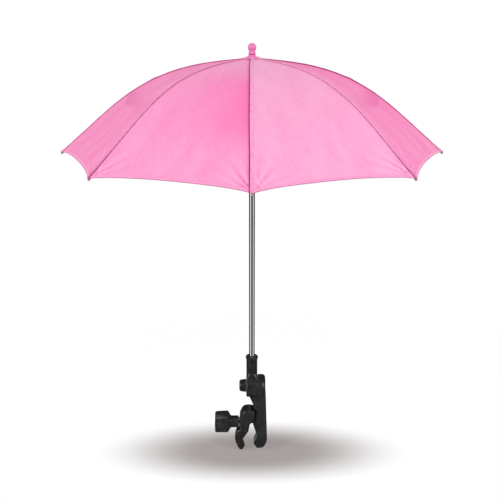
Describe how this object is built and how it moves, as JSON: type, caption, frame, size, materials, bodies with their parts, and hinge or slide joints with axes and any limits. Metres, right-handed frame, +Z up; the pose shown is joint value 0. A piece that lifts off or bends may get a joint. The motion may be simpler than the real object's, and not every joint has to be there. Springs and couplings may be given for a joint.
{
  "type": "stroller parasol",
  "caption": "Folding parasol on a chromed pole with a tilt joint and a screw clamp that grips a stroller's frame tube.",
  "frame": {"origin": "centre of the stroller tube held in the clamp's V jaws", "axes": "+Z up along the pole, +Y along the held tube, -X towards the clamp's knob"},
  "size_m": [0.689, 0.689, 0.8009],
  "materials": {
    "cloth": "plain-woven pink polyester, faint sheen",
    "finial": "moulded pink plastic",
    "finial_washer": "darker pink plastic",
    "chrome": "polished chrome plate",
    "steel": "zinc-plated steel",
    "spring_steel": "spring steel strip",
    "black_plastic": "black moulded plastic, satin",
    "cap_plastic": "pale moulded plastic"
  },
  "bodies": {
    "clamp": {"clamp_body": "black_plastic", "jaw_pin": "steel", "clamp_nut": "steel", "tilt_bolt": "steel"},
    "jaw": {"moving_jaw": "black_plastic"},
    "pressure_washer": {"clamp_washer": "chrome"},
    "screw_knob": {"clamp_knob": "black_plastic", "clamp_screw": "steel"},
    "tilt_plate": {"tilt_washer": "steel"},
    "tilt_grip": {"tilt_knob": "black_plastic"},
    "mast": {"socket": "black_plastic", "pole": "chrome", "crown": "black_plastic", "crown_pin": "steel", "crown_wire": "steel", "finial": "finial", "finial_washer": "finial_washer", "cloth_collar": "cloth"},
    "upper_catch": {"top_catch": "spring_steel"},
    "lower_catch": {"bottom_catch": "spring_steel"},
    "slider": {"runner": "black_plastic", "runner_wire": "steel"},
    "rib_arm_1": {"rib_1": "steel", "tip_cap_1": "cap_plastic"},
    "stretcher_arm_1": {"stretcher_1": "steel"},
    "gore_panel_1": {"gore_1": "cloth"},
    "rib_arm_2": {"rib_2": "steel", "tip_cap_2": "cap_plastic"},
    "stretcher_arm_2": {"stretcher_2": "steel"},
    "gore_panel_2": {"gore_2": "cloth"},
    "rib_arm_3": {"rib_3": "steel", "tip_cap_3": "cap_plastic"},
    "stretcher_arm_3": {"stretcher_3": "steel"},
    "gore_panel_3": {"gore_3": "cloth"},
    "rib_arm_4": {"rib_4": "steel", "tip_cap_4": "cap_plastic"},
    "stretcher_arm_4": {"stretcher_4": "steel"},
    "gore_panel_4": {"gore_4": "cloth"},
    "rib_arm_5": {"rib_5": "steel", "tip_cap_5": "cap_plastic"},
    "stretcher_arm_5": {"stretcher_5": "steel"},
    "gore_panel_5": {"gore_5": "cloth"},
    "rib_arm_6": {"rib_6": "steel", "tip_cap_6": "cap_plastic"},
    "stretcher_arm_6": {"stretcher_6": "steel"},
    "gore_panel_6": {"gore_6": "cloth"},
    "rib_arm_7": {"rib_7": "steel", "tip_cap_7": "cap_plastic"},
    "stretcher_arm_7": {"stretcher_7": "steel"},
    "gore_panel_7": {"gore_7": "cloth"},
    "rib_arm_8": {"rib_8": "steel", "tip_cap_8": "cap_plastic"},
    "stretcher_arm_8": {"stretcher_8": "steel"},
    "gore_panel_8": {"gore_8": "cloth"}
  },
  "joints": [
    {"name": "clamp_knob_turn", "type": "hinge", "parent": "pressure_washer", "child": "screw_knob", "pos_m": [-0.05, 0, 0.0273], "axis": [1, 0, 0], "range_deg": [-450, 570]},
    {"name": "clamp_feed", "type": "slide", "parent": "clamp", "child": "pressure_washer", "axis": [-1, 0, 0], "range_m": [-0.0016, 0.002]},
    {"name": "jaw_hinge", "type": "hinge", "parent": "clamp", "child": "jaw", "pos_m": [0.0007, 0, 0.0447], "axis": [0, 1, 0], "range_deg": [-5.3, 6.55]},
    {"name": "tilt_knob_turn", "type": "hinge", "parent": "tilt_plate", "child": "tilt_grip", "pos_m": [-0.018, 0, 0.1082], "axis": [1, 0, 0], "range_deg": [0, 540]},
    {"name": "tilt_feed", "type": "slide", "parent": "clamp", "child": "tilt_plate", "axis": [-1, 0, 0], "range_m": [0, 0.0016]},
    {"name": "mast_tilt", "type": "hinge", "parent": "clamp", "child": "mast", "pos_m": [0, 0, 0.1082], "axis": [1, 0, 0], "range_deg": [-75, 75]},
    {"name": "upper_catch_press", "type": "slide", "parent": "mast", "child": "upper_catch", "axis": [0, -1, 0], "range_m": [0, 0.0024], "stiffness_N_per_m": 800},
    {"name": "lower_catch_press", "type": "slide", "parent": "mast", "child": "lower_catch", "axis": [0, -1, 0], "range_m": [0, 0.0024], "stiffness_N_per_m": 800},
    {"name": "runner_slide", "type": "slide", "parent": "mast", "child": "slider", "axis": [0, 0, -1], "range_m": [0, 0.20161], "deforming": ["gore_1", "gore_2", "gore_3", "gore_4", "gore_5", "gore_6", "gore_7", "gore_8", "top_catch", "bottom_catch"]},
    {"name": "rib_1_hinge", "type": "hinge", "parent": "mast", "child": "rib_arm_1", "pos_m": [0, -0.01, 0.7354], "axis": [1, 0, 0], "range_deg": [-0.1, 62.1]},
    {"name": "stretcher_1_hinge", "type": "hinge", "parent": "rib_arm_1", "child": "stretcher_arm_1", "pos_m": [0, -0.16986, 0.70064], "axis": [1, 0, 0], "range_deg": [-104.35, 0.1]},
    {"name": "gore_1_fold", "type": "hinge", "parent": "rib_arm_1", "child": "gore_panel_1", "pos_m": [0.00414, -0.01, 0.7354], "axis": [-0.3346, 0.8078, -0.4854], "range_deg": [-0.2, 45.57]},
    {"name": "rib_2_hinge", "type": "hinge", "parent": "mast", "child": "rib_arm_2", "pos_m": [0.00707, -0.00707, 0.7354], "axis": [0.7071, 0.7071, 0], "range_deg": [-0.1, 62.1]},
    {"name": "stretcher_2_hinge", "type": "hinge", "parent": "rib_arm_2", "child": "stretcher_arm_2", "pos_m": [0.12011, -0.12011, 0.70064], "axis": [0.7071, 0.7071, 0], "range_deg": [-104.35, 0.1]},
    {"name": "gore_2_fold", "type": "hinge", "parent": "rib_arm_2", "child": "gore_panel_2", "pos_m": [0.01, -0.00414, 0.7354], "axis": [-0.8078, 0.3346, -0.4854], "range_deg": [-0.2, 45.57]},
    {"name": "rib_3_hinge", "type": "hinge", "parent": "mast", "child": "rib_arm_3", "pos_m": [0.01, 0, 0.7354], "axis": [0, 1, 0], "range_deg": [-0.1, 62.1]},
    {"name": "stretcher_3_hinge", "type": "hinge", "parent": "rib_arm_3", "child": "stretcher_arm_3", "pos_m": [0.16986, 0, 0.70064], "axis": [0, 1, 0], "range_deg": [-104.35, 0.1]},
    {"name": "gore_3_fold", "type": "hinge", "parent": "rib_arm_3", "child": "gore_panel_3", "pos_m": [0.01, 0.00414, 0.7354], "axis": [-0.8078, -0.3346, -0.4854], "range_deg": [-0.2, 45.57]},
    {"name": "rib_4_hinge", "type": "hinge", "parent": "mast", "child": "rib_arm_4", "pos_m": [0.00707, 0.00707, 0.7354], "axis": [-0.7071, 0.7071, 0], "range_deg": [-0.1, 62.1]},
    {"name": "stretcher_4_hinge", "type": "hinge", "parent": "rib_arm_4", "child": "stretcher_arm_4", "pos_m": [0.12011, 0.12011, 0.70064], "axis": [-0.7071, 0.7071, 0], "range_deg": [-104.35, 0.1]},
    {"name": "gore_4_fold", "type": "hinge", "parent": "rib_arm_4", "child": "gore_panel_4", "pos_m": [0.00414, 0.01, 0.7354], "axis": [-0.3346, -0.8078, -0.4854], "range_deg": [-0.2, 45.57]},
    {"name": "rib_5_hinge", "type": "hinge", "parent": "mast", "child": "rib_arm_5", "pos_m": [0, 0.01, 0.7354], "axis": [-1, 0, 0], "range_deg": [-0.1, 62.1]},
    {"name": "stretcher_5_hinge", "type": "hinge", "parent": "rib_arm_5", "child": "stretcher_arm_5", "pos_m": [0, 0.16986, 0.70064], "axis": [-1, 0, 0], "range_deg": [-104.35, 0.1]},
    {"name": "gore_5_fold", "type": "hinge", "parent": "rib_arm_5", "child": "gore_panel_5", "pos_m": [-0.00414, 0.01, 0.7354], "axis": [0.3346, -0.8078, -0.4854], "range_deg": [-0.2, 45.57]},
    {"name": "rib_6_hinge", "type": "hinge", "parent": "mast", "child": "rib_arm_6", "pos_m": [-0.00707, 0.00707, 0.7354], "axis": [-0.7071, -0.7071, 0], "range_deg": [-0.1, 62.1]},
    {"name": "stretcher_6_hinge", "type": "hinge", "parent": "rib_arm_6", "child": "stretcher_arm_6", "pos_m": [-0.12011, 0.12011, 0.70064], "axis": [-0.7071, -0.7071, 0], "range_deg": [-104.35, 0.1]},
    {"name": "gore_6_fold", "type": "hinge", "parent": "rib_arm_6", "child": "gore_panel_6", "pos_m": [-0.01, 0.00414, 0.7354], "axis": [0.8078, -0.3346, -0.4854], "range_deg": [-0.2, 45.57]},
    {"name": "rib_7_hinge", "type": "hinge", "parent": "mast", "child": "rib_arm_7", "pos_m": [-0.01, 0, 0.7354], "axis": [0, -1, 0], "range_deg": [-0.1, 62.1]},
    {"name": "stretcher_7_hinge", "type": "hinge", "parent": "rib_arm_7", "child": "stretcher_arm_7", "pos_m": [-0.16986, 0, 0.70064], "axis": [0, -1, 0], "range_deg": [-104.35, 0.1]},
    {"name": "gore_7_fold", "type": "hinge", "parent": "rib_arm_7", "child": "gore_panel_7", "pos_m": [-0.01, -0.00414, 0.7354], "axis": [0.8078, 0.3346, -0.4854], "range_deg": [-0.2, 45.57]},
    {"name": "rib_8_hinge", "type": "hinge", "parent": "mast", "child": "rib_arm_8", "pos_m": [-0.00707, -0.00707, 0.7354], "axis": [0.7071, -0.7071, 0], "range_deg": [-0.1, 62.1]},
    {"name": "stretcher_8_hinge", "type": "hinge", "parent": "rib_arm_8", "child": "stretcher_arm_8", "pos_m": [-0.12011, -0.12011, 0.70064], "axis": [0.7071, -0.7071, 0], "range_deg": [-104.35, 0.1]},
    {"name": "gore_8_fold", "type": "hinge", "parent": "rib_arm_8", "child": "gore_panel_8", "pos_m": [-0.00414, -0.01, 0.7354], "axis": [0.3346, 0.8078, -0.4854], "range_deg": [-0.2, 45.57]}
  ],
  "couplings": [
    {"joint": "clamp_feed", "follows": "clamp_knob_turn", "m_per_rad": 0.000199},
    {"joint": "jaw_hinge", "follows": "clamp_knob_turn", "ratio": 0.011434},
    {"joint": "tilt_feed", "follows": "tilt_knob_turn", "m_per_rad": 0.000159},
    {"joint": "rib_1_hinge", "follows": "runner_slide", "rad_per_m": 5.3673},
    {"joint": "stretcher_1_hinge", "follows": "runner_slide", "rad_per_m": -9.0252},
    {"joint": "gore_1_fold", "follows": "runner_slide", "rad_per_m": 3.9362},
    {"joint": "rib_2_hinge", "follows": "runner_slide", "rad_per_m": 5.3673},
    {"joint": "stretcher_2_hinge", "follows": "runner_slide", "rad_per_m": -9.0252},
    {"joint": "gore_2_fold", "follows": "runner_slide", "rad_per_m": 3.9362},
    {"joint": "rib_3_hinge", "follows": "runner_slide", "rad_per_m": 5.3673},
    {"joint": "stretcher_3_hinge", "follows": "runner_slide", "rad_per_m": -9.0252},
    {"joint": "gore_3_fold", "follows": "runner_slide", "rad_per_m": 3.9362},
    {"joint": "rib_4_hinge", "follows": "runner_slide", "rad_per_m": 5.3673},
    {"joint": "stretcher_4_hinge", "follows": "runner_slide", "rad_per_m": -9.0252},
    {"joint": "gore_4_fold", "follows": "runner_slide", "rad_per_m": 3.9362},
    {"joint": "rib_5_hinge", "follows": "runner_slide", "rad_per_m": 5.3673},
    {"joint": "stretcher_5_hinge", "follows": "runner_slide", "rad_per_m": -9.0252},
    {"joint": "gore_5_fold", "follows": "runner_slide", "rad_per_m": 3.9362},
    {"joint": "rib_6_hinge", "follows": "runner_slide", "rad_per_m": 5.3673},
    {"joint": "stretcher_6_hinge", "follows": "runner_slide", "rad_per_m": -9.0252},
    {"joint": "gore_6_fold", "follows": "runner_slide", "rad_per_m": 3.9362},
    {"joint": "rib_7_hinge", "follows": "runner_slide", "rad_per_m": 5.3673},
    {"joint": "stretcher_7_hinge", "follows": "runner_slide", "rad_per_m": -9.0252},
    {"joint": "gore_7_fold", "follows": "runner_slide", "rad_per_m": 3.9362},
    {"joint": "rib_8_hinge", "follows": "runner_slide", "rad_per_m": 5.3673},
    {"joint": "stretcher_8_hinge", "follows": "runner_slide", "rad_per_m": -9.0252},
    {"joint": "gore_8_fold", "follows": "runner_slide", "rad_per_m": 3.9362}
  ]
}
